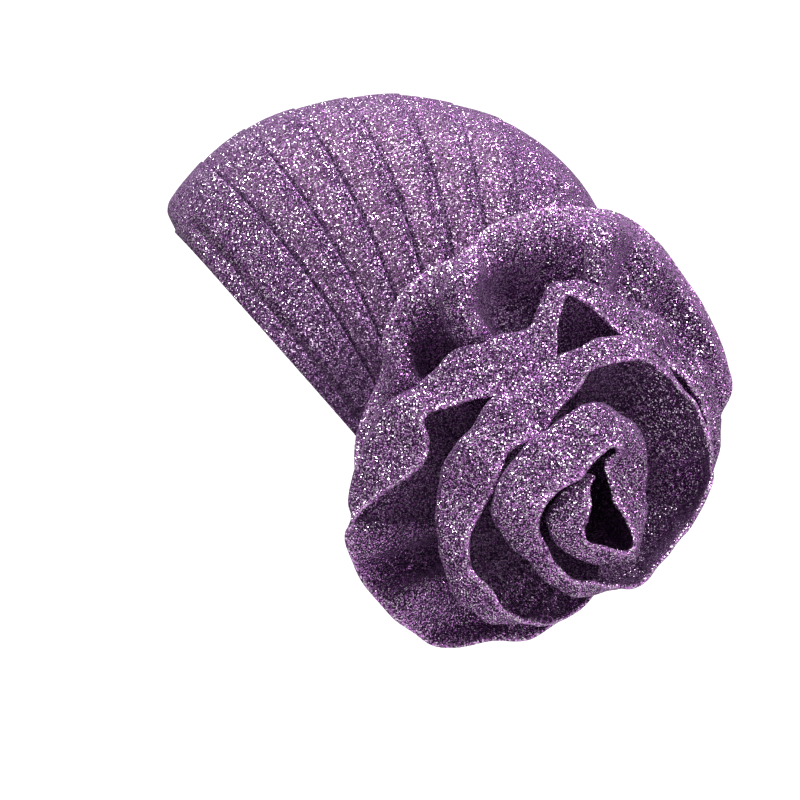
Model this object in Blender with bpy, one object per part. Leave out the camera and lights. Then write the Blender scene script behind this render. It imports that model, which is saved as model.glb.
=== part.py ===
"""A pleated stretch turban with a large wound cloth rosette on the wearer's left and back.

Front is -Y, the wearer's left is +X and up is +Z. The origin is inside the crown's top,
where the head bears. Every length is in metres and every angle in degrees.
"""

import math

import bmesh
import bpy

MM = 0.001

# Crown: a fan of slices about an axis along X, low on the side of the head
CROWN_RADIUS = 207 * MM
CROWN_HALF_WIDTH = 79 * MM
CROWN_WALL = 1.8 * MM
CROWN_SQUARENESS = 2.4
SEAT_ANGLE = 95.4
RIM_CORNER_CUT = 13 * MM
RIM_SEARCH_STEPS = 25

# Pleats: folded edges that face back and fan out from low on the side
PLEAT_COUNT = 7
PLEAT_STEP = 1.5 * MM
FIRST_PLEAT = 122.5
PLEAT_PITCH = 7.1
PLEAT_EDGE = 0.45
PLEAT_SWEEP = 25.0
PLEAT_FADE = 0.3
PANEL_COLUMNS = 2
BACK_COLUMNS = 12
FRONT_COLUMNS = 6
CROWN_SIDE_ROWS = 9
HEM_SWELL = 0.7 * MM
HEM_ANGLE = 3.0

# Crown outline: fan angle, outer radius and pleat sweep as shares of the sizes above
CROWN_PROFILE = (
    (-14.5, 0.375, 0.00),
    (0.0, 0.380, 0.12),
    (16.0, 0.415, 0.25),
    (34.0, 0.506, 0.45),
    (46.0, 0.620, 0.65),
    (55.0, 0.735, 0.85),
    (62.0, 0.830, 0.95),
    (72.0, 0.909, 1.00),
    (80.0, 0.951, 0.98),
    (88.0, 0.978, 0.92),
    (95.4, 1.000, 0.85),
    (104.0, 1.008, 0.77),
    (112.0, 1.014, 0.70),
    (119.0, 1.003, 0.66),
    (125.0, 0.982, 0.56),
    (129.0, 0.964, 0.30),
    (130.4, 0.944, 0.18),
    (131.2, 0.900, 0.10),
)

# Rosette: one doubled strip wound clockwise and inwards, as seen from the wearer's left
FLOWER_RADIUS = 133 * MM
FLOWER_RISE = 70 * MM
FLOWER_BACK = 93 * MM
FLOWER_DROP = 191 * MM
CLOTH_THICKNESS = 2.2 * MM
SEAT_CLEARANCE = 0.3 * MM
SIDE_CLEARANCE = 3 * MM
SIDE_LEAN = 0.42
SIDE_BEND_START = 55 * MM
SIDE_BEND_WIDTH = 20 * MM
PAD_RADIUS_SHARE = 0.31
PAD_DEPTH = 6 * MM
PAD_DOME = 8 * MM
ROOT_FIRST = 0.27
ROOT_LAST = 0.035
SHOULDER_REACH = 0.52
SHOULDER_RISE = 0.36
SHOULDER_PLACE = 0.33
CREST_PLACE = 0.66
COLUMNS_PER_ROW = 2
STRIP_ROWS = 6
SEAM_SHARE = 0.02
NORMAL_STEP = 0.01
PAD_RINGS = 6
PAD_SECTORS = 32

# Columns: crest turn, crest reach, crest rise, rim turn, rim reach, rim rise.
# Turns are clockwise from the back, reaches and rises are shares of the rosette's sizes.
OUTER_ROWS = (
    (-196, 0.60, 0.04, -196, 0.79, 0.06),
    (-180, 0.60, 0.04, -180, 0.80, 0.07),
    (-166, 0.62, 0.06, -166, 0.83, 0.09),
    (-151, 0.64, 0.12, -151, 0.84, 0.10),
    (-144, 0.67, 0.10, -144, 0.89, 0.18),
    (-133, 0.69, 0.02, -134, 0.925, 0.26),
    (-125, 0.70, 0.10, -125, 0.935, 0.30),
    (-118, 0.74, 0.33, -117, 0.95, 0.33),
    (-111, 0.71, 0.08, -111, 0.955, 0.33),
    (-104, 0.69, 0.02, -104, 0.965, 0.30),
    (-97, 0.71, 0.08, -97, 0.99, 0.26),
    (-90, 0.74, 0.20, -90, 1.00, 0.20),
    (-85, 0.76, 0.28, -84, 0.998, 0.16),
    (-80, 0.74, 0.12, -79, 0.98, 0.10),
    (-73, 0.69, 0.10, -73, 0.93, 0.08),
    (-65, 0.66, 0.06, -65, 0.84, 0.10),
    (-53, 0.60, 0.13, -53, 0.75, 0.14),
    (-43, 0.54, 0.14, -43, 0.68, 0.16),
    (-37, 0.51, 0.12, -37, 0.635, 0.12),
    (-29, 0.44, 0.08, -29, 0.52, 0.08),
    (-8, 0.34, 0.06, -8, 0.38, 0.06),
    (20, 0.285, 0.065, 20, 0.31, 0.07),
)
SECOND_ROWS = (
    (48, 0.262, 0.085, 48, 0.285, 0.085),
    (70, 0.28, 0.095, 70, 0.31, 0.11),
    (90, 0.30, 0.10, 90, 0.34, 0.14),
    (104, 0.36, 0.11, 104, 0.42, 0.18),
    (113, 0.43, 0.12, 113, 0.52, 0.20),
    (125, 0.50, 0.10, 125, 0.60, 0.22),
    (136, 0.58, 0.14, 136, 0.72, 0.24),
    (144, 0.62, 0.22, 144, 0.765, 0.21),
    (152, 0.64, 0.26, 152, 0.80, 0.25),
    (160, 0.66, 0.14, 160, 0.83, 0.22),
    (167, 0.69, 0.22, 167, 0.85, 0.27),
    (172, 0.75, 0.26, 171.5, 0.857, 0.32),
    (177, 0.825, 0.30, 175.5, 0.83, 0.38),
    (182, 0.832, 0.32, 180.5, 0.74, 0.43),
    (189, 0.805, 0.34, 187, 0.64, 0.48),
    (194, 0.80, 0.36, 193, 0.60, 0.50),
    (200, 0.78, 0.38, 200, 0.605, 0.50),
    (206, 0.745, 0.39, 206, 0.645, 0.50),
    (215, 0.715, 0.40, 215.5, 0.57, 0.51),
    (228, 0.69, 0.42, 227, 0.49, 0.52),
    (239, 0.636, 0.43, 236, 0.445, 0.52),
    (249, 0.62, 0.43, 246, 0.46, 0.52),
    (254.5, 0.685, 0.43, 254, 0.49, 0.52),
    (258, 0.735, 0.42, 258, 0.61, 0.50),
    (262, 0.758, 0.41, 262, 0.705, 0.49),
    (267, 0.757, 0.40, 267.5, 0.68, 0.48),
    (271, 0.73, 0.40, 272, 0.63, 0.48),
    (277, 0.695, 0.40, 278, 0.585, 0.47),
    (284, 0.656, 0.39, 285, 0.555, 0.46),
    (294, 0.645, 0.38, 295, 0.55, 0.44),
    (307, 0.62, 0.37, 307, 0.53, 0.43),
    (321, 0.57, 0.35, 321, 0.50, 0.42),
    (338, 0.48, 0.32, 338, 0.44, 0.38),
    (355, 0.40, 0.26, 355, 0.365, 0.30),
    (375, 0.33, 0.21, 375, 0.31, 0.25),
)
THIRD_ROWS = (
    (400, 0.285, 0.18, 400, 0.285, 0.23),
    (425, 0.27, 0.19, 425, 0.285, 0.25),
    (444, 0.29, 0.23, 444, 0.31, 0.31),
    (459, 0.34, 0.27, 459, 0.39, 0.36),
    (469, 0.40, 0.31, 470, 0.455, 0.42),
    (476, 0.45, 0.36, 476.5, 0.48, 0.48),
    (482, 0.50, 0.41, 482, 0.48, 0.53),
    (490, 0.54, 0.46, 491, 0.485, 0.58),
    (499, 0.555, 0.49, 500, 0.465, 0.61),
    (510, 0.56, 0.51, 512, 0.485, 0.62),
    (523, 0.55, 0.53, 523, 0.455, 0.64),
    (537, 0.552, 0.55, 535, 0.395, 0.66),
    (547, 0.535, 0.56, 546, 0.355, 0.67),
    (556, 0.51, 0.58, 556, 0.345, 0.68),
    (567, 0.48, 0.60, 567, 0.345, 0.69),
    (580, 0.48, 0.61, 580, 0.315, 0.70),
    (596, 0.445, 0.62, 592, 0.295, 0.70),
    (609, 0.46, 0.62, 604, 0.325, 0.70),
    (618, 0.51, 0.62, 612, 0.35, 0.70),
    (628, 0.535, 0.62, 620, 0.375, 0.70),
    (636, 0.537, 0.62, 628, 0.435, 0.70),
    (644, 0.54, 0.62, 641, 0.475, 0.69),
    (657, 0.515, 0.62, 655, 0.50, 0.68),
    (673, 0.46, 0.58, 673, 0.475, 0.67),
    (684, 0.435, 0.56, 684, 0.455, 0.66),
    (695, 0.42, 0.54, 695, 0.445, 0.64),
    (703, 0.41, 0.46, 703, 0.43, 0.60),
    (718, 0.37, 0.44, 718, 0.395, 0.60),
    (739, 0.315, 0.44, 739, 0.34, 0.60),
    (765, 0.30, 0.46, 765, 0.32, 0.60),
    (781, 0.305, 0.49, 781, 0.318, 0.62),
)
INNER_ROWS = (
    (798, 0.308, 0.54, 798, 0.30, 0.66),
    (812, 0.322, 0.58, 812, 0.282, 0.70),
    (827, 0.32, 0.61, 828, 0.283, 0.73),
    (842, 0.313, 0.64, 841, 0.262, 0.75),
    (859, 0.307, 0.67, 856, 0.238, 0.78),
    (875, 0.33, 0.69, 870, 0.23, 0.80),
    (887, 0.34, 0.70, 881, 0.215, 0.82),
    (898, 0.342, 0.71, 894, 0.185, 0.85),
    (912, 0.33, 0.72, 910, 0.15, 0.87),
    (931, 0.305, 0.73, 932, 0.115, 0.89),
    (951, 0.285, 0.75, 955, 0.10, 0.90),
    (971, 0.305, 0.77, 974, 0.12, 0.90),
    (984, 0.32, 0.78, 985, 0.137, 0.91),
    (1000, 0.303, 0.79, 996, 0.165, 0.92),
    (1014, 0.278, 0.80, 1007, 0.192, 0.92),
    (1031, 0.235, 0.80, 1010, 0.165, 0.87),
    (1046, 0.205, 0.80, 1006, 0.125, 0.82),
    (1060, 0.185, 0.80, 1024, 0.085, 0.81),
    (1077, 0.172, 0.80, 1064, 0.062, 0.84),
    (1095, 0.172, 0.80, 1094, 0.082, 0.88),
    (1112, 0.185, 0.79, 1112, 0.125, 0.89),
)
HEART_ROWS = (
    (1126, 0.215, 0.78, 1125, 0.18, 0.88),
    (1136, 0.235, 0.76, 1136, 0.20, 0.86),
    (1146, 0.222, 0.76, 1146, 0.185, 0.86),
    (1159, 0.208, 0.77, 1159, 0.165, 0.87),
    (1174, 0.205, 0.78, 1175, 0.152, 0.88),
    (1187, 0.195, 0.79, 1187, 0.138, 0.89),
    (1199, 0.187, 0.79, 1195, 0.105, 0.90),
    (1212, 0.182, 0.79, 1200, 0.062, 0.91),
    (1226, 0.184, 0.78, 1221, 0.035, 0.92),
    (1242, 0.18, 0.77, 1260, 0.03, 0.92),
    (1264, 0.145, 0.75, 1300, 0.045, 0.91),
    (1290, 0.115, 0.73, 1325, 0.07, 0.88),
    (1318, 0.095, 0.70, 1342, 0.08, 0.84),
)
STRIP_TABLES = (
    ("outer_ruffle", OUTER_ROWS),
    ("second_ruffle", SECOND_ROWS),
    ("third_ruffle", THIRD_ROWS),
    ("inner_ruffle", INNER_ROWS),
    ("heart", HEART_ROWS),
)

# Cloth colours, linear
NODE_COLOURS = {
    "crown": (0.12, 0.05, 0.17),
    "flower_base": (0.06, 0.02, 0.09),
    "outer_ruffle": (0.13, 0.05, 0.19),
    "second_ruffle": (0.14, 0.06, 0.20),
    "third_ruffle": (0.16, 0.07, 0.22),
    "inner_ruffle": (0.17, 0.07, 0.24),
    "heart": (0.19, 0.08, 0.26),
}


def curve_through(before, start, end, after, share):
    """Where a smooth curve through four evenly spaced values is between the middle two."""
    rise = (end - before) / 2
    fall = (after - start) / 2
    gap = end - start
    return start + share * (rise + share * ((3 * gap - 2 * rise - fall) + share * (rise + fall - 2 * gap)))


def read_rows(rows, place):
    """The values of a table at a place between its rows, read along smooth curves."""
    last = len(rows) - 1
    place = min(max(place, 0.0), last)
    index = min(int(place), last - 1)
    four = [rows[min(max(index + step, 0), last)] for step in (-1, 0, 1, 2)]
    return [curve_through(*values, place - index) for values in zip(*four)]


def steady_curve(places, values, place):
    """A smooth curve through points that never swings past them."""
    index = 0
    while index < len(places) - 2 and place > places[index + 1]:
        index += 1
    slopes = [(values[i + 1] - values[i]) / (places[i + 1] - places[i]) for i in range(len(places) - 1)]
    tangents = [slopes[0]]
    for first, second in zip(slopes, slopes[1:]):
        same_way = first * second > 0
        tangents.append(2 * first * second / (first + second) if same_way else 0.0)
    tangents.append(slopes[-1])
    width = places[index + 1] - places[index]
    share = (place - places[index]) / width
    start = values[index]
    gap = values[index + 1] - start
    rise = tangents[index] * width
    fall = tangents[index + 1] * width
    return start + share * (rise + share * ((3 * gap - 2 * rise - fall) + share * (rise + fall - 2 * gap)))


def crown_row(fan_angle):
    """Outer radius and pleat sweep of the crown at an angle of the fan."""
    angles = [row[0] for row in CROWN_PROFILE]
    radius = steady_curve(angles, [row[1] for row in CROWN_PROFILE], fan_angle)
    sweep = steady_curve(angles, [row[2] for row in CROWN_PROFILE], fan_angle)
    return radius * CROWN_RADIUS, sweep * PLEAT_SWEEP


NAPE_ANGLE = CROWN_PROFILE[0][0]
BROW_ANGLE = CROWN_PROFILE[-1][0]
SEAT_RADIUS = crown_row(SEAT_ANGLE)[0] - CROWN_WALL
AXIS_Y = -SEAT_RADIUS * math.cos(math.radians(SEAT_ANGLE))
AXIS_Z = -SEAT_RADIUS * math.sin(math.radians(SEAT_ANGLE))


def rim_radius(fan_angle):
    """How near the fan's axis the crown's side edge comes, along a straight cut corner."""
    middle = (NAPE_ANGLE + BROW_ANGLE) / 2
    return RIM_CORNER_CUT / math.cos(math.radians(fan_angle - middle))


def swept_angle(top_angle, depth_share):
    """The fan angle of a line that starts at a top angle and drifts back down the side."""
    return top_angle - crown_row(top_angle)[1] * (1 - depth_share)


def side_turn(top_angle):
    """The section angle at which a slice of the crown reaches its side edge."""
    depth = rim_radius(top_angle) / crown_row(top_angle)[0]
    for _ in range(RIM_SEARCH_STEPS):
        angle = swept_angle(top_angle, depth)
        depth = rim_radius(angle) / crown_row(angle)[0]
    return math.acos(depth ** (CROWN_SQUARENESS / 2))


def crown_point(top_angle, turn, lift):
    """A point of the crown at a signed section angle, lifted off the outer surface."""
    round_off = 2 / CROWN_SQUARENESS
    depth = math.cos(turn) ** round_off
    across = math.copysign(abs(math.sin(turn)) ** round_off, turn)
    angle = swept_angle(top_angle, depth)
    radius = depth * (crown_row(angle)[0] + lift)
    bearing = math.radians(angle)
    return (
        across * (CROWN_HALF_WIDTH + lift),
        AXIS_Y + radius * math.cos(bearing),
        AXIS_Z + radius * math.sin(bearing),
    )


def crown_columns():
    """Top angle and pleat height share of each line of the crown, nape to brow."""
    last_pleat = FIRST_PLEAT - PLEAT_PITCH * (PLEAT_COUNT - 1)
    columns = []
    for step in range(BACK_COLUMNS):
        columns.append((NAPE_ANGLE + (last_pleat - PLEAT_EDGE - NAPE_ANGLE) * step / BACK_COLUMNS, 0.0))
    for pleat in reversed(range(PLEAT_COUNT)):
        edge = FIRST_PLEAT - PLEAT_PITCH * pleat
        columns.append((edge - PLEAT_EDGE, 0.0))
        columns.append((edge, 1.0))
        if pleat:
            for step in range(1, PANEL_COLUMNS + 1):
                share = step / (PANEL_COLUMNS + 1)
                columns.append((edge + (PLEAT_PITCH - PLEAT_EDGE) * share, 1.0 - share))
    for step in range(1, FRONT_COLUMNS + 1):
        share = step / FRONT_COLUMNS
        columns.append((FIRST_PLEAT + (BROW_ANGLE - FIRST_PLEAT) * share, max(0.0, 1 - 2 * share)))
    return columns


def pleat_fade(side_share):
    """Pleats keep their height over the top and die out towards the side edge."""
    return min(1.0, (1 - side_share) / PLEAT_FADE)


def hem_swell(top_angle):
    """The folded hem thickens the last of the crown before the brow."""
    share = (top_angle - BROW_ANGLE + HEM_ANGLE) / HEM_ANGLE
    return HEM_SWELL * math.sqrt(max(0.0, share * (1 - share)) * 4)


def crown_side(y, z):
    """How far the crown's outer surface stands from the middle at a height and depth."""
    radius = math.hypot(y - AXIS_Y, z - AXIS_Z)
    angle = math.degrees(math.atan2(z - AXIS_Z, y - AXIS_Y))
    if not NAPE_ANGLE < angle < BROW_ANGLE:
        return 0.0
    share = radius / crown_row(angle)[0]
    if share >= 1:
        return 0.0
    return CROWN_HALF_WIDTH * (1 - share**CROWN_SQUARENESS) ** (1 / CROWN_SQUARENESS)


def flower_seat(y):
    """How far from the middle the rosette's floor lies: along the side, then leaning back."""
    bend = (y - SIDE_BEND_START) / SIDE_BEND_WIDTH
    past = SIDE_BEND_WIDTH * math.log(1 + math.exp(bend))
    return CROWN_HALF_WIDTH + SIDE_CLEARANCE - SIDE_LEAN * past


def pad_height(reach):
    """How high the rosette's padded seat is domed at a distance from its middle."""
    share = reach / (PAD_RADIUS_SHARE * FLOWER_RADIUS)
    return PAD_DOME * max(0.0, 1 - share * share)


def flower_point(turn, reach, rise):
    """A point of the rosette from its clockwise turn, its reach and its height."""
    bearing = math.radians(-turn)
    y = FLOWER_BACK + reach * math.cos(bearing)
    z = -FLOWER_DROP + reach * math.sin(bearing)
    return (flower_seat(y) + rise, y, z)


WOUND_STRIP = sum((rows for _, rows in STRIP_TABLES), ())
FIRST_TURN = WOUND_STRIP[0][0]
LAST_TURN = WOUND_STRIP[-1][0]
ROOT_RISE = CLOTH_THICKNESS / 2 + SEAT_CLEARANCE


def strip_point(place, across):
    """The middle of the cloth at a place along the wound strip and a share across it."""
    crest_turn, crest_reach, crest_rise, rim_turn, rim_reach, rim_rise = read_rows(WOUND_STRIP, place)
    wound = (crest_turn - FIRST_TURN) / (LAST_TURN - FIRST_TURN)
    root_reach = ROOT_FIRST + (ROOT_LAST - ROOT_FIRST) * wound
    root_rise = (ROOT_RISE + pad_height(root_reach * FLOWER_RADIUS)) / FLOWER_RISE
    shoulder_reach = root_reach + SHOULDER_REACH * (crest_reach - root_reach)
    shoulder_rise = root_rise + SHOULDER_RISE * (crest_rise - root_rise)
    places = (0.0, SHOULDER_PLACE, CREST_PLACE, 1.0)
    reach = steady_curve(places, (root_reach, shoulder_reach, crest_reach, rim_reach), across)
    rise = steady_curve(places, (root_rise, shoulder_rise, crest_rise, rim_rise), across)
    turn = steady_curve(places, (crest_turn, crest_turn, crest_turn, rim_turn), across)
    return flower_point(turn, reach * FLOWER_RADIUS, rise * FLOWER_RISE)


def strip_normal(place, across):
    """The direction out of the cloth's outer face."""
    along_a = strip_point(place - NORMAL_STEP, across)
    along_b = strip_point(place + NORMAL_STEP, across)
    up_a = strip_point(place, max(0.0, across - NORMAL_STEP))
    up_b = strip_point(place, min(1.0, across + NORMAL_STEP))
    along = [b - a for a, b in zip(along_a, along_b)]
    up = [b - a for a, b in zip(up_a, up_b)]
    normal = (
        along[1] * up[2] - along[2] * up[1],
        along[2] * up[0] - along[0] * up[2],
        along[0] * up[1] - along[1] * up[0],
    )
    length = math.sqrt(sum(value * value for value in normal))
    return [value / length for value in normal]


def make_material(name, colour):
    material = bpy.data.materials.new(name + "_cloth")
    material.use_nodes = True
    shader = material.node_tree.nodes["Principled BSDF"]
    shader.inputs["Base Color"].default_value = (*colour, 1.0)
    shader.inputs["Roughness"].default_value = 0.8
    return material


def add_solid(name, points, faces):
    """One closed cloth body with its faces turned outwards."""
    mesh = bpy.data.meshes.new(name)
    mesh.from_pydata(points, [], faces)
    shape = bmesh.new()
    shape.from_mesh(mesh)
    bmesh.ops.triangulate(shape, faces=shape.faces)
    bmesh.ops.recalc_face_normals(shape, faces=shape.faces)
    if shape.calc_volume(signed=True) < 0:
        bmesh.ops.reverse_faces(shape, faces=shape.faces)
    shape.to_mesh(mesh)
    shape.free()
    mesh.materials.append(make_material(name, NODE_COLOURS[name]))
    solid = bpy.data.objects.new(name, mesh)
    bpy.context.scene.collection.objects.link(solid)
    return solid


def add_shell(name, front, back):
    """A closed sheet between two grids of points, joined round all four edges."""
    columns = len(front)
    rows = len(front[0])
    points = [point for grid in (front, back) for column in grid for point in column]
    half = columns * rows
    faces = []
    for column in range(columns - 1):
        for row in range(rows - 1):
            corner = column * rows + row
            ring = (corner, corner + rows, corner + rows + 1, corner + 1)
            faces.append(ring)
            faces.append(tuple(half + index for index in reversed(ring)))
    edge = [column * rows for column in range(columns)]
    edge += [(columns - 1) * rows + row for row in range(1, rows)]
    edge += [column * rows + rows - 1 for column in reversed(range(columns - 1))]
    edge += [row for row in reversed(range(1, rows - 1))]
    for here, there in zip(edge, edge[1:] + edge[:1]):
        faces.append((there, here, here + half, there + half))
    return add_solid(name, points, faces)


def add_crown():
    outer = []
    inner = []
    for top_angle, pleat in crown_columns():
        reach = side_turn(top_angle)
        outer_line = []
        inner_line = []
        for row in range(-CROWN_SIDE_ROWS, CROWN_SIDE_ROWS + 1):
            turn = reach * row / CROWN_SIDE_ROWS
            lift = PLEAT_STEP * pleat * pleat_fade(abs(row) / CROWN_SIDE_ROWS) + hem_swell(top_angle)
            outer_line.append(crown_point(top_angle, turn, lift))
            inner_line.append(crown_point(top_angle, turn, -CROWN_WALL))
        outer.append(outer_line)
        inner.append(inner_line)
    return add_shell("crown", outer, inner)


def seat_point(turn, reach):
    """The underside of the rosette's seat, laid on the crown's side where there is one."""
    x, y, z = flower_point(turn, reach, -PAD_DEPTH)
    return (max(x, crown_side(y, z) + SEAT_CLEARANCE), y, z)


def add_flower_base():
    """The sewn seat of the rosette: it lies on the crown's side and its back edge is free."""
    radius = PAD_RADIUS_SHARE * FLOWER_RADIUS
    top = []
    bottom = []
    for sector in range(PAD_SECTORS):
        turn = 360 * sector / PAD_SECTORS
        for ring in range(1, PAD_RINGS + 1):
            reach = radius * ring / PAD_RINGS
            top.append(flower_point(turn, reach, pad_height(reach)))
            bottom.append(seat_point(turn, reach))
    points = top + bottom + [flower_point(0.0, 0.0, PAD_DOME), seat_point(0.0, 0.0)]
    half = len(top)
    top_middle = 2 * half
    faces = []
    for sector in range(PAD_SECTORS):
        here = sector * PAD_RINGS
        there = (sector + 1) % PAD_SECTORS * PAD_RINGS
        faces.append((top_middle, here, there))
        faces.append((top_middle + 1, half + there, half + here))
        for ring in range(PAD_RINGS - 1):
            strip = (here + ring, here + ring + 1, there + ring + 1, there + ring)
            faces.append(strip)
            faces.append(tuple(half + index for index in reversed(strip)))
        rim_here = here + PAD_RINGS - 1
        rim_there = there + PAD_RINGS - 1
        faces.append((rim_here, half + rim_here, half + rim_there, rim_there))
    return add_solid("flower_base", points, faces)


def add_ruffle(name, first_row, last_row):
    """One stretch of the wound strip between two rows of the table."""
    count = (last_row - first_row) * COLUMNS_PER_ROW
    start = first_row + (SEAM_SHARE if first_row else 0.0)
    end = last_row - (SEAM_SHARE if last_row < len(WOUND_STRIP) - 1 else 0.0)
    outer = []
    inner = []
    for column in range(count + 1):
        place = start + (end - start) * column / count
        outer_line = []
        inner_line = []
        for row in range(STRIP_ROWS + 1):
            across = row / STRIP_ROWS
            point = strip_point(place, across)
            normal = strip_normal(place, across)
            outer_line.append([a + b * CLOTH_THICKNESS / 2 for a, b in zip(point, normal)])
            inner_line.append([a - b * CLOTH_THICKNESS / 2 for a, b in zip(point, normal)])
        outer.append(outer_line)
        inner.append(inner_line)
    return add_shell(name, outer, inner)


def add_ruffles():
    first_row = 0
    for name, rows in STRIP_TABLES:
        last_row = min(first_row + len(rows), len(WOUND_STRIP) - 1)
        add_ruffle(name, first_row, last_row)
        first_row = last_row


for old in list(bpy.data.objects):
    bpy.data.objects.remove(old, do_unlink=True)
add_crown()
add_flower_base()
add_ruffles()
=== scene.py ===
"""The looks of a pleated stretch turban with a wound cloth rosette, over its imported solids.

Front is -Y, the wearer's left is +X and up is +Z. The origin is inside the crown's top.
Every length is in metres and every angle in degrees, unless a name says otherwise.
"""

import math

import bmesh
import bpy
import numpy as np
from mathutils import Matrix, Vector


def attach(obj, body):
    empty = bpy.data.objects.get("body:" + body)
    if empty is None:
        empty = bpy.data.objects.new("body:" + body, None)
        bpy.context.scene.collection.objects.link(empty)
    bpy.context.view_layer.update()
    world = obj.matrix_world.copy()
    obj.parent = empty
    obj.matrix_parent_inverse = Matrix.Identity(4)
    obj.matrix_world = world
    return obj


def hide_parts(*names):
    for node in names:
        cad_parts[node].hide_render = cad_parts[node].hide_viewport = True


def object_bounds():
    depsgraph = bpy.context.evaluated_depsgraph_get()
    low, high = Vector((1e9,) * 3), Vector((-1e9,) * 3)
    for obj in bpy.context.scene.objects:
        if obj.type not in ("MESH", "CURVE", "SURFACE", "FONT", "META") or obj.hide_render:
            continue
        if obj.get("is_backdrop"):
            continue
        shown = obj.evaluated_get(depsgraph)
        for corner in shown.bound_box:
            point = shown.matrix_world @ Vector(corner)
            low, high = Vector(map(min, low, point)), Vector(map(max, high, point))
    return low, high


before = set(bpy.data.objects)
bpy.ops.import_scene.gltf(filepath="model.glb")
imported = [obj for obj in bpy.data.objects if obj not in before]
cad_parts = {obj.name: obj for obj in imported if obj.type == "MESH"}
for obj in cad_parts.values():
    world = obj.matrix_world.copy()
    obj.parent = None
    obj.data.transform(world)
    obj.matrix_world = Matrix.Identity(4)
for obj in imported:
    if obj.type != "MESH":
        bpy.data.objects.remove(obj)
cad_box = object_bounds()
MM = 0.001

# Crown sizes, as in the part's source
CROWN_RADIUS = 207 * MM
CROWN_HALF_WIDTH = 79 * MM
CROWN_WALL = 1.8 * MM
CROWN_SQUARENESS = 2.4
SEAT_ANGLE = 95.4
RIM_CORNER_CUT = 13 * MM
RIM_SEARCH_STEPS = 25
PLEAT_COUNT = 7
FIRST_PLEAT = 122.5
PLEAT_PITCH = 7.1
PLEAT_SWEEP = 25.0
# Columns: angle up from the back, share of the crown's radius, share of the pleats' sweep
CROWN_PROFILE = (
    (-14.5, 0.375, 0.00),
    (0.0, 0.380, 0.12),
    (16.0, 0.415, 0.25),
    (34.0, 0.506, 0.45),
    (46.0, 0.620, 0.65),
    (55.0, 0.735, 0.85),
    (62.0, 0.830, 0.95),
    (72.0, 0.909, 1.00),
    (80.0, 0.951, 0.98),
    (88.0, 0.978, 0.92),
    (95.4, 1.000, 0.85),
    (104.0, 1.008, 0.77),
    (112.0, 1.014, 0.70),
    (119.0, 1.003, 0.66),
    (125.0, 0.982, 0.56),
    (129.0, 0.964, 0.30),
    (130.4, 0.944, 0.18),
    (131.2, 0.900, 0.10),
)

# How the cloth folds at each pleat: degrees from its folded edge, height share,
# how much shade is painted into the fold, and how far it is stretched to a single layer
PLEAT_FOLD = (
    (-1.60, 0.14, 0.00, 1.0),
    (-0.90, 0.09, 0.00, 1.0),
    (-0.48, 0.00, 0.25, 1.0),
    (-0.30, -0.35, 0.90, 0.5),
    (-0.12, -0.75, 1.00, 0.0),
    (0.06, -0.85, 1.00, 0.0),
    (0.10, -0.30, 1.00, 0.0),
    (0.00, 0.25, 0.90, 0.0),
    (-0.06, 0.62, 0.50, 0.0),
    (0.02, 0.88, 0.15, 0.0),
    (0.24, 1.00, 0.00, 0.0),
    (0.60, 1.00, 0.00, 0.0),
    (1.30, 0.94, 0.00, 0.15),
    (2.40, 0.78, 0.00, 0.85),
    (4.00, 0.50, 0.00, 1.0),
)
FRONT_PLEAT_KEEPS = 12
PLEAT_HEIGHT = 1.2 * MM
PLEAT_TOP_SHARE = 0.5
PLEAT_DEEPENS_BY = 0.35
PLEAT_FADES_FROM = 0.90
# The front pleat's own last folds, after the first rows of the table above
FRONT_FOLDS = (
    (1.8, 0.86, 0.0, 0.0),
    (3.4, 0.55, 0.0, 0.0),
    (5.0, 0.25, 0.0, 0.0),
    (6.4, 0.08, 0.0, 0.0),
)
FOLD_WIDENS_BY = 1.8
FOLD_WIDENS_OVER = (0.05, 0.65)
FOLD_REACH = (-0.48, 0.24)
FOLD_SHADE_OVER = (0.02, 0.3)
STRETCH_OVER = (0.08, 0.4)
# Painted shade on the crown by the ear and the rosette, growing towards its side edges: where it
# starts and ends as a share across, and how dark
SIDE_EDGE_SHADE_FROM = 0.58
SIDE_EDGE_SHADE_TO = 0.90
SIDE_EDGE_SHADE = 0.85
STRETCH_BY_PANEL = (0.0, 0.55, 0.85, 1.0, 1.0, 0.9, 0.8)
BACK_COLUMNS = 46
BROW_COLUMNS = 12
CROWN_ROWS = 72
HEM_ROLL = 0.5 * MM
HEM_ANGLE = 2.6

# Rosette sizes, as in the part's source
FLOWER_RADIUS = 133 * MM
FLOWER_RISE = 70 * MM
FLOWER_BACK = 93 * MM
FLOWER_DROP = 191 * MM
CLOTH_THICKNESS = 2.2 * MM
SEAT_CLEARANCE = 0.3 * MM
SIDE_CLEARANCE = 3 * MM
SIDE_LEAN = 0.42
SIDE_BEND_START = 55 * MM
SIDE_BEND_WIDTH = 20 * MM
PAD_RADIUS_SHARE = 0.31
PAD_DEPTH = 6 * MM
PAD_DOME = 8 * MM
ROOT_FIRST = 0.27
ROOT_LAST = 0.035
SHOULDER_REACH = 0.52
SHOULDER_RISE = 0.36
SECTION_PLACES = (0.0, 0.33, 0.66, 1.0)
COLUMNS_PER_ROW = 8
STRIP_ROWS = 26
FOLD_STEPS = 5

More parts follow.
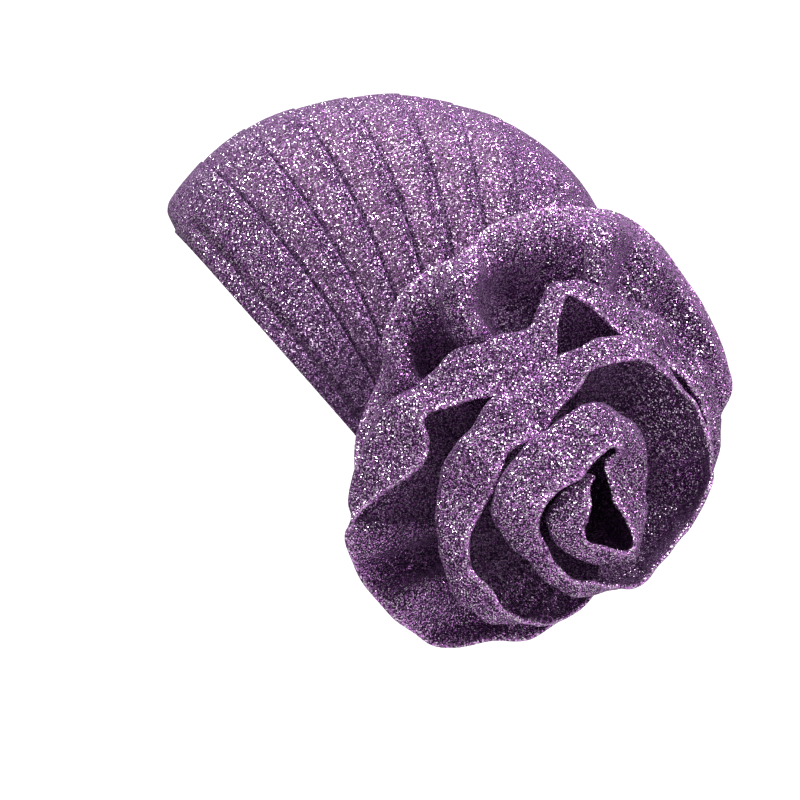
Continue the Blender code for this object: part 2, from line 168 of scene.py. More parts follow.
# Columns: crest turn, crest reach, crest rise, rim turn, rim reach, rim rise.
# Turns are clockwise from the back, reaches and rises are shares of the rosette's sizes.
# The part's source has the same rows, but its outer crests from -147 to -81 lean less.
OUTER_ROWS = (
    (-196, 0.60, 0.04, -196, 0.79, 0.06),
    (-180, 0.60, 0.04, -180, 0.80, 0.07),
    (-166, 0.62, 0.06, -166, 0.83, 0.09),
    (-151, 0.64, 0.12, -151, 0.84, 0.10),
    (-147, 0.67, 0.10, -144, 0.89, 0.18),
    (-139, 0.69, 0.02, -134, 0.925, 0.26),
    (-132, 0.70, 0.10, -125, 0.935, 0.30),
    (-126, 0.74, 0.33, -117, 0.95, 0.33),
    (-118, 0.71, 0.08, -111, 0.955, 0.33),
    (-111, 0.69, 0.02, -104, 0.965, 0.30),
    (-102, 0.71, 0.08, -97, 0.99, 0.26),
    (-93, 0.74, 0.20, -90, 1.00, 0.20),
    (-87, 0.76, 0.28, -84, 0.998, 0.16),
    (-81, 0.74, 0.12, -79, 0.98, 0.10),
    (-73, 0.69, 0.10, -73, 0.93, 0.08),
    (-65, 0.66, 0.06, -65, 0.84, 0.10),
    (-53, 0.60, 0.13, -53, 0.75, 0.14),
    (-43, 0.54, 0.14, -43, 0.68, 0.16),
    (-37, 0.51, 0.12, -37, 0.635, 0.12),
    (-29, 0.44, 0.08, -29, 0.52, 0.08),
    (-8, 0.34, 0.06, -8, 0.38, 0.06),
    (20, 0.285, 0.065, 20, 0.31, 0.07),
)
SECOND_ROWS = (
    (48, 0.262, 0.085, 48, 0.285, 0.085),
    (70, 0.28, 0.095, 70, 0.31, 0.11),
    (90, 0.30, 0.10, 90, 0.34, 0.14),
    (104, 0.36, 0.11, 104, 0.42, 0.18),
    (113, 0.43, 0.12, 113, 0.52, 0.20),
    (125, 0.50, 0.10, 125, 0.60, 0.22),
    (136, 0.58, 0.14, 136, 0.72, 0.24),
    (144, 0.62, 0.22, 144, 0.765, 0.21),
    (152, 0.64, 0.26, 152, 0.80, 0.25),
    (160, 0.66, 0.14, 160, 0.83, 0.22),
    (167, 0.69, 0.22, 167, 0.85, 0.27),
    (172, 0.75, 0.26, 171.5, 0.857, 0.32),
    (177, 0.825, 0.30, 175.5, 0.83, 0.38),
    (182, 0.832, 0.32, 180.5, 0.74, 0.43),
    (189, 0.805, 0.34, 187, 0.64, 0.48),
    (194, 0.80, 0.36, 193, 0.60, 0.50),
    (200, 0.78, 0.38, 200, 0.605, 0.50),
    (206, 0.745, 0.39, 206, 0.645, 0.50),
    (215, 0.715, 0.40, 215.5, 0.57, 0.51),
    (228, 0.69, 0.42, 227, 0.49, 0.52),
    (239, 0.636, 0.43, 236, 0.445, 0.52),
    (249, 0.62, 0.43, 246, 0.46, 0.52),
    (254.5, 0.685, 0.43, 254, 0.49, 0.52),
    (258, 0.735, 0.42, 258, 0.61, 0.50),
    (262, 0.758, 0.41, 262, 0.705, 0.49),
    (267, 0.757, 0.40, 267.5, 0.68, 0.48),
    (271, 0.73, 0.40, 272, 0.63, 0.48),
    (277, 0.695, 0.40, 278, 0.585, 0.47),
    (284, 0.656, 0.39, 285, 0.555, 0.46),
    (294, 0.645, 0.38, 295, 0.55, 0.44),
    (307, 0.62, 0.37, 307, 0.53, 0.43),
    (321, 0.57, 0.35, 321, 0.50, 0.42),
    (338, 0.48, 0.32, 338, 0.44, 0.38),
    (355, 0.40, 0.26, 355, 0.365, 0.30),
    (375, 0.33, 0.21, 375, 0.31, 0.25),
)
THIRD_ROWS = (
    (400, 0.285, 0.18, 400, 0.285, 0.23),
    (425, 0.27, 0.19, 425, 0.285, 0.25),
    (444, 0.29, 0.23, 444, 0.31, 0.31),
    (459, 0.34, 0.27, 459, 0.39, 0.36),
    (469, 0.40, 0.31, 470, 0.455, 0.42),
    (476, 0.45, 0.36, 476.5, 0.48, 0.48),
    (482, 0.50, 0.41, 482, 0.48, 0.53),
    (490, 0.54, 0.46, 491, 0.485, 0.58),
    (499, 0.555, 0.49, 500, 0.465, 0.61),
    (510, 0.56, 0.51, 512, 0.485, 0.62),
    (523, 0.55, 0.53, 523, 0.455, 0.64),
    (537, 0.552, 0.55, 535, 0.395, 0.66),
    (547, 0.535, 0.56, 546, 0.355, 0.67),
    (556, 0.51, 0.58, 556, 0.345, 0.68),
    (567, 0.48, 0.60, 567, 0.345, 0.69),
    (580, 0.48, 0.61, 580, 0.315, 0.70),
    (596, 0.445, 0.62, 592, 0.295, 0.70),
    (609, 0.46, 0.62, 604, 0.325, 0.70),
    (618, 0.51, 0.62, 612, 0.35, 0.70),
    (628, 0.535, 0.62, 620, 0.375, 0.70),
    (636, 0.537, 0.62, 628, 0.435, 0.70),
    (644, 0.54, 0.62, 641, 0.475, 0.69),
    (657, 0.515, 0.62, 655, 0.50, 0.68),
    (673, 0.46, 0.58, 673, 0.475, 0.67),
    (684, 0.435, 0.56, 684, 0.455, 0.66),
    (695, 0.42, 0.54, 695, 0.445, 0.64),
    (703, 0.41, 0.46, 703, 0.43, 0.60),
    (718, 0.37, 0.44, 718, 0.395, 0.60),
    (739, 0.315, 0.44, 739, 0.34, 0.60),
    (765, 0.30, 0.46, 765, 0.32, 0.60),
    (781, 0.305, 0.49, 781, 0.318, 0.62),
)
INNER_ROWS = (
    (798, 0.308, 0.54, 798, 0.30, 0.66),
    (812, 0.322, 0.58, 812, 0.282, 0.70),
    (827, 0.32, 0.61, 828, 0.283, 0.73),
    (842, 0.313, 0.64, 841, 0.262, 0.75),
    (859, 0.307, 0.67, 856, 0.238, 0.78),
    (875, 0.33, 0.69, 870, 0.23, 0.80),
    (887, 0.34, 0.70, 881, 0.215, 0.82),
    (898, 0.342, 0.71, 894, 0.185, 0.85),
    (912, 0.33, 0.72, 910, 0.15, 0.87),
    (931, 0.305, 0.73, 932, 0.115, 0.89),
    (951, 0.285, 0.75, 955, 0.10, 0.90),
    (971, 0.305, 0.77, 974, 0.12, 0.90),
    (984, 0.32, 0.78, 985, 0.137, 0.91),
    (1000, 0.303, 0.79, 996, 0.165, 0.92),
    (1014, 0.278, 0.80, 1007, 0.192, 0.92),
    (1031, 0.235, 0.80, 1010, 0.165, 0.87),
    (1046, 0.205, 0.80, 1006, 0.125, 0.82),
    (1060, 0.185, 0.80, 1024, 0.085, 0.81),
    (1077, 0.172, 0.80, 1064, 0.062, 0.84),
    (1095, 0.172, 0.80, 1094, 0.082, 0.88),
    (1112, 0.185, 0.79, 1112, 0.125, 0.89),
)
HEART_ROWS = (
    (1126, 0.215, 0.78, 1125, 0.18, 0.88),
    (1136, 0.235, 0.76, 1136, 0.20, 0.86),
    (1146, 0.222, 0.76, 1146, 0.185, 0.86),
    (1159, 0.208, 0.77, 1159, 0.165, 0.87),
    (1174, 0.205, 0.78, 1175, 0.152, 0.88),
    (1187, 0.195, 0.79, 1187, 0.138, 0.89),
    (1199, 0.187, 0.79, 1195, 0.105, 0.90),
    (1212, 0.182, 0.79, 1200, 0.062, 0.91),
    (1226, 0.184, 0.78, 1221, 0.035, 0.92),
    (1242, 0.18, 0.77, 1260, 0.03, 0.92),
    (1264, 0.145, 0.75, 1300, 0.045, 0.91),
    (1290, 0.115, 0.73, 1325, 0.07, 0.88),
    (1318, 0.095, 0.70, 1342, 0.08, 0.84),
)
STRIP_TABLES = (
    ("outer_ruffle", OUTER_ROWS),
    ("second_ruffle", SECOND_ROWS),
    ("third_ruffle", THIRD_ROWS),
    ("inner_ruffle", INNER_ROWS),
    ("heart", HEART_ROWS),
)
WOUND_STRIP = sum((rows for _, rows in STRIP_TABLES), ())
FIRST_TURN = WOUND_STRIP[0][0]
LAST_TURN = WOUND_STRIP[-1][0]

# Soft ripples over the strip: length along it, height, slant
RIPPLES = (
    (13 * MM, 0.16 * MM, 1.1),
    (19 * MM, 0.25 * MM, -0.9),
    (31 * MM, 0.45 * MM, 0.6),
    (47 * MM, 0.60 * MM, -0.4),
    (83 * MM, 0.70 * MM, 0.3),
)
RIPPLE_OFFSET = 0.37
RIPPLES_GROW_OVER = (0.1, 0.6)
RIPPLES_MEASURED_AT = 0.7
GATHER_LENGTH = 7.5 * MM
GATHER_HEIGHT = 0.7 * MM
GATHERS_FADE_OVER = (0.0, 0.7)
# The row of the strip, counted from its root, along which the gathers are spaced
GATHERS_MEASURED_AT = 2
# Painted shade over the strip's root, reaching further out in the hollows; by crest turn, the
# shares across where it fades out
ROOT_SHADE = 0.72
ROOT_SHADE_ENDS = (
    (-150, 0.34, 0.72),
    (-144, 0.50, 0.92),
    (-134, 0.50, 0.92),
    (-129, 0.20, 0.50),
    (-124, 0.20, 0.50),
    (-120, 0.60, 0.97),
    (-106, 0.60, 0.97),
    (-98, 0.34, 0.72),
    (422, 0.34, 0.72),
    (438, 0.20, 0.42),
    (492, 0.20, 0.42),
    (508, 0.34, 0.72),
    (648, 0.34, 0.72),
    (664, 0.20, 0.42),
    (757, 0.20, 0.42),
    (773, 0.34, 0.72),
    (997, 0.34, 0.72),
    (1013, 0.20, 0.42),
    (1322, 0.20, 0.42),
)
# Shares across the strip over which the painted rim highlight grows
RIM_HIGHLIGHT_SHARES = (0.945, 0.99)
LIP_SWELL = 3 * MM
LIP_ROLL = 7 * MM
LIP_PLACE = 0.88
LIP_WIDTH = 0.10
LIP_FADES_FROM = -62
LIP_FADES_TO = -30
# Folds pressed into the strip: crest turn, half width, share across from and to, height
CREASE_BEGINS = (0.12, 0.18)
CREASE_ENDS = (0.2, 0.1)
CREASE_FADES_BY = 0.7
CREASES = (
    (-156.0, 6.0, 0.35, 0.88, -4.0 * MM),
    (-148.0, 3.5, 0.40, 1.00, 3.0 * MM),
    (-138.5, 5.5, 0.25, 0.76, -7.0 * MM),
    (-126.5, 3.4, 0.40, 0.92, 5.5 * MM),
    (-114.0, 6.5, 0.30, 0.80, -8.5 * MM),
    (-100.0, 3.0, 0.50, 1.00, 1.4 * MM),
    (-89.0, 2.6, 0.50, 1.05, 5.0 * MM),
    (-81.5, 3.2, 0.45, 1.00, -5.5 * MM),
    (-67.0, 4.5, 0.40, 1.00, -3.0 * MM),
    (-58.0, 3.5, 0.50, 1.00, 1.8 * MM),
    (124.0, 5.0, 0.40, 1.00, 1.8 * MM),
    (137.0, 5.0, 0.40, 1.00, -2.0 * MM),
    (150.5, 3.6, 0.45, 1.00, 4.2 * MM),
    (161.0, 4.5, 0.30, 0.80, -6.5 * MM),
    (171.0, 3.0, 0.35, 0.95, 2.4 * MM),
    (203.0, 4.5, 0.20, 0.80, -1.8 * MM),
    (232.0, 5.0, 0.30, 0.90, 1.6 * MM),
    (262.0, 4.0, 0.30, 0.90, 1.6 * MM),
    (288.0, 5.0, 0.40, 1.00, -1.8 * MM),
    (303.0, 5.0, 0.50, 1.00, 1.6 * MM),
    (486.0, 5.0, 0.40, 0.95, 1.6 * MM),
    (503.0, 5.0, 0.30, 0.85, -1.6 * MM),
    (534.0, 7.0, 0.40, 0.95, 1.4 * MM),
    (585.0, 7.0, 0.40, 0.95, -1.5 * MM),
    (625.0, 7.0, 0.30, 0.80, 1.5 * MM),
    (648.0, 12.0, 0.25, 0.55, -6.0 * MM),
    (668.0, 7.0, 0.50, 1.00, -1.5 * MM),
    (846.0, 9.0, 0.40, 0.95, -1.2 * MM),
    (905.0, 9.0, 0.40, 0.95, 1.2 * MM),
    (990.0, 9.0, 0.40, 0.95, -1.2 * MM),
)

# The gathered seat's mesh and its puckers
SEAT_RINGS = 14
SEAT_SECTORS = 96
SEAT_FIRST_RING = 0.04
PUCKER_COUNT = 24
PUCKER_HEIGHT = 0.5 * MM
PUCKERS_GROW_OVER = (0.3, 1)
TOP_PUCKER_SHARE = 0.4

# Stitches that tack the seat to the crown
STITCH_SPACING = 4.5 * MM
STITCH_LENGTH = 5 * MM
STITCH_RADIUS = 0.35 * MM
STITCH_SEGMENTS = 8
STITCH_RINGS = 6
TACKED_TURNS = (95, 300)
TACKING_STEPS = 60

# Knit, with colours in linear light
CROWN_YARN = (0.036, 0.007, 0.052)
CROWN_THREAD = (0.90, 0.37, 1.00)
ROSETTE_YARN = (0.030, 0.006, 0.045)
ROSETTE_THREAD = (0.90, 0.38, 1.00)
SEAT_YARN = (0.035, 0.010, 0.05)
SEAT_THREAD = (0.5, 0.28, 0.56)
STRETCHED_YARN = (0.125, 0.060, 0.130)
SHADED_YARN = (0.030, 0.008, 0.045)
GLINT_COLOUR = (0.97, 0.78, 1.0)
SHEEN_TINT = (0.85, 0.45, 1.0)
CROWN_THREAD_SHARE = 0.50
ROSETTE_THREAD_SHARE = 0.53
SEAT_THREAD_SHARE = 0.4
# Painted highlight along the rosette's folded rims, as extra thread share
RIM_HIGHLIGHT_ADDS = 0.32
STRETCHED_THREAD_ADDS = -0.02
STITCHES_PER_METRE = 1500.0
STITCH_UNEVENNESS = 0.8
STITCH_RELIEF = 0.02 * MM
THREAD_LEAN = 1.5
PATCHES_PER_METRE = 70.0
PATCH_DETAIL = 3.0
PATCH_STRENGTH = 0.16
BEAD_GROWS_BY = 0.55
BEAD_EDGE = 0.20
BEAD_HEART = 0.12
DULLEST_THREAD = 0.35
GLINTS_FROM = 0.62
GLINTS_TO = 0.68
SHADE_HIDES_THREAD = 0.82
SHADE_DARKENS_YARN = 0.8
THREAD_METAL = 0.85
YARN_ROUGHNESS = 0.85
THREAD_ROUGHNESS = 0.24
CLOTH_SPECULAR = 0.25
SHEEN_WEIGHT = 0.25
SHEEN_ROUGHNESS = 0.35

# Camera and stage
CAMERA_DISTANCE = 1.6
CAMERA_BACK = 4.85 * MM
CAMERA_DROP = 146 * MM
VIEW_WIDTH = 388 * MM
SENSOR_WIDTH = 36.0
FLOOR_DROP = 0.42
FLOOR_SECTORS = 64
FLOOR_GREY = 0.50
FLOOR_ROUGHNESS = 0.9
# The floor's rings: radius and height
FLOOR_RINGS = (
    (0.5, 0.0),
    (1.0, 0.0),
    (1.6, 0.0),
    (2.2, 0.05),
    (2.6, 0.16),
    (3.0, 0.4),
    (3.3, 0.75),
    (3.5, 1.3),
    (3.6, 2.0),
    (3.65, 3.0),
)
LIT_SPOT = (0.03, 0.02, -0.13)
# Lights: name, place, size, power in watts
LIGHTS = (
    ("key_from_above", (0.24, 0.00, 1.2), 0.4, 28),
    ("light_from_back", (0.70, 1.1, 0.80), 0.6, 12),
)
WORLD_STRENGTH = 0.62


def ease(start, gap, rise, fall, share):
    """A cubic from start to start plus gap, with its slopes at both ends."""
    curve = 3 * gap - 2 * rise - fall
    bend = rise + fall - 2 * gap
    return start + share * (rise + share * (curve + share * bend))


def steady(places, values, at):
    """A smooth curve through points that never swings past them, read at many places."""
    places = np.asarray(places, float)
    values = np.asarray(values, float)
    widths = np.diff(places)
    slopes = np.diff(values, axis=0) / widths.reshape((-1,) + (1,) * (values.ndim - 1))
    first = slopes[:-1]
    second = slopes[1:]
    total = np.where(first + second == 0, 1.0, first + second)
    middle = np.where(first * second > 0, 2 * first * second / total, 0.0)
    tangents = np.concatenate([slopes[:1], middle, slopes[-1:]])
    index = np.clip(np.searchsorted(places, at, side="right") - 1, 0, len(widths) - 1)
    share = ((at - places[index]) / widths[index]).reshape((-1,) + (1,) * (values.ndim - 1))
    width = widths[index].reshape(share.shape)
    start = values[index]
    gap = values[index + 1] - start
    rise = tangents[index] * width
    fall = tangents[index + 1] * width
    return ease(start, gap, rise, fall, share)


def smooth_step(low, high, at):
    """From 0 to 1 between two places, level at both."""
    share = np.clip((at - low) / (high - low), 0, 1)
    return share * share * (3 - 2 * share)


def crown_profile(angle, column):
    """One column of the crown's table at any angle, read along a smooth curve."""
    angles = [row[0] for row in CROWN_PROFILE]
    shares = [row[column] for row in CROWN_PROFILE]
    return steady(angles, shares, np.ravel(angle)).reshape(np.shape(angle))


def crown_radius(angle):
    return CROWN_RADIUS * crown_profile(angle, 1)


def pleat_sweep(angle):
    return PLEAT_SWEEP * crown_profile(angle, 2)


NAPE_ANGLE = CROWN_PROFILE[0][0]
BROW_ANGLE = CROWN_PROFILE[-1][0]
SEAT_RADIUS = float(crown_radius(np.array([SEAT_ANGLE]))[0]) - CROWN_WALL
AXIS_Y = -SEAT_RADIUS * math.cos(math.radians(SEAT_ANGLE))
AXIS_Z = -SEAT_RADIUS * math.sin(math.radians(SEAT_ANGLE))


def rim_radius(angle):
    """How near the fan's axis the crown's side edge comes, along a straight cut corner."""
    middle = (NAPE_ANGLE + BROW_ANGLE) / 2
    return RIM_CORNER_CUT / np.cos(np.radians(angle - middle))


def side_turns(top_angles):
    """The section angle at which each slice of the crown reaches its side edge."""
    sweep = pleat_sweep(top_angles)
    depth = rim_radius(top_angles) / crown_radius(top_angles)
    for _ in range(RIM_SEARCH_STEPS):
        angle = top_angles - sweep * (1 - depth)
        depth = rim_radius(angle) / crown_radius(angle)
    return np.arccos(depth ** (CROWN_SQUARENESS / 2))


def crown_grid(top_angles, lifts, row_shares):
    """Points of the crown for the lines of the fan, and each share from side to side."""
    turns = side_turns(top_angles[:, CROWN_ROWS])[:, None] * row_shares[None, :]
    round_off = 2 / CROWN_SQUARENESS
    depth = np.cos(turns) ** round_off
    across = np.sign(turns) * np.abs(np.sin(turns)) ** round_off
    angle = top_angles - pleat_sweep(top_angles) * (1 - depth)
    radius = depth * (crown_radius(angle) + lifts)
    bearing = np.radians(angle)
    x = across * (CROWN_HALF_WIDTH + lifts)
    y = AXIS_Y + radius * np.cos(bearing)
    z = AXIS_Z + radius * np.sin(bearing)
    return np.stack([x, y, z], axis=-1)


def crown_side(y, z):
    """How far the crown's outer surface stands from the middle."""
    radius = np.hypot(y - AXIS_Y, z - AXIS_Z)
    angle = np.degrees(np.arctan2(z - AXIS_Z, y - AXIS_Y))
    inside = (angle > NAPE_ANGLE) & (angle < BROW_ANGLE)
    share = np.where(inside, radius / crown_radius(np.clip(angle, NAPE_ANGLE, BROW_ANGLE)), 1.0)
    depth = np.clip(1 - np.clip(share, 0, 1) ** CROWN_SQUARENESS, 0, 1)
    return CROWN_HALF_WIDTH * depth ** (1 / CROWN_SQUARENESS)


def flower_seat(y):
    """How far from the middle the rosette's floor lies."""
    past = SIDE_BEND_WIDTH * np.log1p(np.exp((y - SIDE_BEND_START) / SIDE_BEND_WIDTH))
    return CROWN_HALF_WIDTH + SIDE_CLEARANCE - SIDE_LEAN * past


def pad_height(reach):
    share = reach / (PAD_RADIUS_SHARE * FLOWER_RADIUS)
    return PAD_DOME * np.clip(1 - share * share, 0, None)


def flower_points(turn, reach, rise):
    bearing = np.radians(-turn)
    y = FLOWER_BACK + reach * np.cos(bearing)
    z = -FLOWER_DROP + reach * np.sin(bearing)
    return np.stack([flower_seat(y) + rise, y, z], axis=-1)


def read_rows(rows, places):
    """A table's values at places between its rows, read along smooth curves."""
    table = np.asarray(rows, float)
    last = len(table) - 1
    index = np.clip(np.floor(places).astype(int), 0, last - 1)
    share = (places - index)[:, None]
    before, start, end, after = (table[np.clip(index + step, 0, last)] for step in (-1, 0, 1, 2))
    return ease(start, end - start, (end - before) / 2, (after - start) / 2, share)


def strip_grid(places, across):
    """The middle of the cloth for places along the wound strip and shares across it."""
    table = read_rows(WOUND_STRIP, places).T
    crest_turn, crest_reach, crest_rise, rim_turn, rim_reach, rim_rise = table
    wound = (crest_turn - FIRST_TURN) / (LAST_TURN - FIRST_TURN)
    root_reach = ROOT_FIRST + (ROOT_LAST - ROOT_FIRST) * wound
    pad = pad_height(root_reach * FLOWER_RADIUS)
    root_rise = (CLOTH_THICKNESS / 2 + SEAT_CLEARANCE + pad) / FLOWER_RISE
    shoulder_reach = root_reach + SHOULDER_REACH * (crest_reach - root_reach)
    shoulder_rise = root_rise + SHOULDER_RISE * (crest_rise - root_rise)
    reach = steady(SECTION_PLACES, [root_reach, shoulder_reach, crest_reach, rim_reach], across).T
    rise = steady(SECTION_PLACES, [root_rise, shoulder_rise, crest_rise, rim_rise], across).T
    turn = steady(SECTION_PLACES, [crest_turn, crest_turn, crest_turn, rim_turn], across).T
    return flower_points(turn, reach * FLOWER_RADIUS, rise * FLOWER_RISE)


def grid_normals(grid):
    along = np.gradient(grid, axis=0)
    up = np.gradient(grid, axis=1)
    normal = np.cross(along, up)
    return normal / np.maximum(np.linalg.norm(normal, axis=-1, keepdims=True), 1e-9)


def arc_lengths(grid, column):
    """Distance along the strip at one share across it."""
    steps = np.linalg.norm(np.diff(grid[:, column], axis=0), axis=-1)
    return np.concatenate([[0.0], np.cumsum(steps)])


def folded_sheet(name, front, back, fold_radius):
    """A closed sheet between two grids, with a rounded fold along its last column edge."""
    columns = front.shape[0]
    middle = (front[:, -1] + back[:, -1]) / 2
    side = front[:, -1] - back[:, -1]
    side /= np.linalg.norm(side, axis=-1, keepdims=True)
    outward = middle - (front[:, -3] + back[:, -3]) / 2
    outward -= side * (outward * side).sum(-1, keepdims=True)
    outward /= np.linalg.norm(outward, axis=-1, keepdims=True)
    fold = []
    for step in range(FOLD_STEPS + 1):
        turn = math.pi * (step + 0.5) / (FOLD_STEPS + 1)
        bulge = math.sin(turn) * outward + math.cos(turn) * side
        fold.append(middle + fold_radius * bulge)
    ring = np.concatenate([front, np.stack(fold, axis=1), back[:, ::-1]], axis=1)
    around = ring.shape[1]
    points = ring.reshape(-1, 3)
    faces = []
    for column in range(columns - 1):
        here = column * around
        there = here + around
        for step in range(around):
            turned = (step + 1) % around
            faces.append((here + step, there + step, there + turned, here + turned))
    for start, flip in ((0, False), ((columns - 1) * around, True)):
        for step in range(around // 2 - 1):
            near = start + step
            far = start + around - 1 - step
            end = (near, near + 1, far - 1, far)
            faces.append(end[::-1] if flip else end)
    return solid_mesh(name, points, faces)


def solid_mesh(name, points, faces):
    """A smooth closed mesh with its faces turned outwards."""
    mesh = bpy.data.meshes.new(name)
    mesh.from_pydata([tuple(point) for point in points], [], faces)
    shape = bmesh.new()
    shape.from_mesh(mesh)
    bmesh.ops.recalc_face_normals(shape, faces=shape.faces)
    if shape.calc_volume(signed=True) < 0:
        bmesh.ops.reverse_faces(shape, faces=shape.faces)
    shape.to_mesh(mesh)
    shape.free()
    mesh.polygons.foreach_set("use_smooth", [True] * len(mesh.polygons))
    piece = bpy.data.objects.new(name, mesh)
    bpy.context.scene.collection.objects.link(piece)
    return piece


def knit_step(group, operation, first, second=None, third=None):
    """A Math node whose inputs are sockets or plain numbers."""
    node = group.nodes.new("ShaderNodeMath")
    node.operation = operation
    for socket, value in zip(node.inputs, (first, second, third)):
        if isinstance(value, (int, float)):
            socket.default_value = value
        elif value is not None:
            group.links.new(value, socket)
    return node.outputs[0]


def ramp(group, value, start, end, low=0.0, high=1.0):
    """A Map Range node whose numbers may be sockets."""
    node = group.nodes.new("ShaderNodeMapRange")
    node.interpolation_type = "SMOOTHSTEP"
    numbers = {"Value": value, "From Min": start, "From Max": end, "To Min": low, "To Max": high}
    for name, number in numbers.items():
        if isinstance(number, (int, float)):
            node.inputs[name].default_value = number
        else:
            group.links.new(number, node.inputs[name])
    return node.outputs["Result"]


def blend_colours(group, share, first, second):
    node = group.nodes.new("ShaderNodeMix")
    node.data_type = "RGBA"
    group.links.new(share, node.inputs["Factor"])
    for name, colour in (("A", first), ("B", second)):
        if isinstance(colour, tuple):
            node.inputs[name].default_value = colour
        else:
            group.links.new(colour, node.inputs[name])
    return node.outputs["Result"]


def glitter_knit_group():
    """Stretch knit with metallic thread: each stitch shows it as a small bright bead."""
    group = bpy.data.node_groups.new("glitter_knit", "ShaderNodeTree")
    sockets = (
        ("Stitches Per Metre", "NodeSocketFloat", STITCHES_PER_METRE),
        ("Thread Share", "NodeSocketFloat", CROWN_THREAD_SHARE),
        ("Painted Shade", "NodeSocketFloat", 0.0),
        ("Thread Lean", "NodeSocketFloat", THREAD_LEAN),
        ("Yarn", "NodeSocketColor", (*CROWN_YARN, 1)),
        ("Thread", "NodeSocketColor", (*CROWN_THREAD, 1)),
        ("Glint", "NodeSocketColor", (*GLINT_COLOUR, 1)),
    )
    for name, kind, value in sockets:
        socket = group.interface.new_socket(name, in_out="INPUT", socket_type=kind)
        socket.default_value = value
    outputs = (
        ("Color", "NodeSocketColor"),
        ("Metallic", "NodeSocketFloat"),
        ("Roughness", "NodeSocketFloat"),
        ("Height", "NodeSocketFloat"),
        ("Normal", "NodeSocketVector"),
    )
    for name, kind in outputs:
        group.interface.new_socket(name, in_out="OUTPUT", socket_type=kind)
    source = group.nodes.new("NodeGroupInput").outputs
    target = group.nodes.new("NodeGroupOutput")
    place = group.nodes.new("ShaderNodeTexCoord").outputs["Object"]

    # Stitches: cells of uneven size
    cells = group.nodes.new("ShaderNodeTexVoronoi")
    cells.inputs["Randomness"].default_value = STITCH_UNEVENNESS
    group.links.new(place, cells.inputs["Vector"])
    group.links.new(source["Stitches Per Metre"], cells.inputs["Scale"])
    picks = group.nodes.new("ShaderNodeSeparateColor")
    group.links.new(cells.outputs["Color"], picks.inputs["Color"])

    # Larger patches, where the thread lies a little more or less to the outside
    patch = group.nodes.new("ShaderNodeTexNoise")
    patch.inputs["Scale"].default_value = PATCHES_PER_METRE
    patch.inputs["Detail"].default_value = PATCH_DETAIL
    group.links.new(place, patch.inputs["Vector"])
    patchy = knit_step(
        group, "MULTIPLY_ADD", patch.outputs["Fac"], PATCH_STRENGTH, -PATCH_STRENGTH / 2
    )
    reach = knit_step(group, "MULTIPLY_ADD", source["Thread Share"], BEAD_GROWS_BY, patchy)
    edge = knit_step(group, "ADD", reach, BEAD_EDGE)
    heart = knit_step(group, "ADD", reach, BEAD_HEART)
    bead = ramp(group, cells.outputs["Distance"], edge, heart)

    # Each stitch leans its own way, so that some threads catch the light
    lean = group.nodes.new("ShaderNodeVectorMath")
    lean.operation = "SUBTRACT"
    lean.inputs[1].default_value = (0.5, 0.5, 0.5)
    group.links.new(cells.outputs["Color"], lean.inputs[0])
    tilt = group.nodes.new("ShaderNodeVectorMath")
    tilt.operation = "SCALE"
    group.links.new(lean.outputs[0], tilt.inputs[0])
    group.links.new(source["Thread Lean"], tilt.inputs["Scale"])
    leaning = group.nodes.new("ShaderNodeVectorMath")
    leaning.operation = "ADD"
    group.links.new(group.nodes.new("ShaderNodeNewGeometry").outputs["Normal"], leaning.inputs[0])
    group.links.new(tilt.outputs[0], leaning.inputs[1])
    facing = group.nodes.new("ShaderNodeVectorMath")
    facing.operation = "NORMALIZE"
    group.links.new(leaning.outputs[0], facing.inputs[0])
    group.links.new(facing.outputs[0], target.inputs["Normal"])

    # Colours, metal and roughness: painted shade hides thread and darkens the yarn
    lit = knit_step(group, "MULTIPLY_ADD", source["Painted Shade"], -SHADE_HIDES_THREAD, 1.0)
    shown = knit_step(group, "MULTIPLY", bead, lit)
    tone = ramp(group, picks.outputs[0], 0.0, 1.0, DULLEST_THREAD, 1.0)
    bright = knit_step(group, "MULTIPLY", shown, tone)
    glint_pick = ramp(group, picks.outputs[1], GLINTS_FROM, GLINTS_TO)
    glint = knit_step(group, "MULTIPLY", shown, glint_pick)
    shade = knit_step(group, "MULTIPLY", source["Painted Shade"], SHADE_DARKENS_YARN)
    yarn = blend_colours(group, shade, source["Yarn"], (*SHADED_YARN, 1))
    cloth = blend_colours(group, bright, yarn, source["Thread"])
    colour = blend_colours(group, glint, cloth, source["Glint"])
    metal = knit_step(group, "MULTIPLY", shown, THREAD_METAL)
    rough = ramp(group, shown, 0.0, 1.0, YARN_ROUGHNESS, THREAD_ROUGHNESS)
    height = knit_step(group, "SUBTRACT", 1.0, cells.outputs["Distance"])
    group.links.new(colour, target.inputs["Color"])
    group.links.new(metal, target.inputs["Metallic"])
    group.links.new(rough, target.inputs["Roughness"])
    group.links.new(height, target.inputs["Height"])
    return group


def painted(tree, name):
    """A value that paint has stored on the piece, as a node's output."""
    node = tree.nodes.new("ShaderNodeAttribute")
    node.attribute_name = name
    return node.outputs["Fac"]


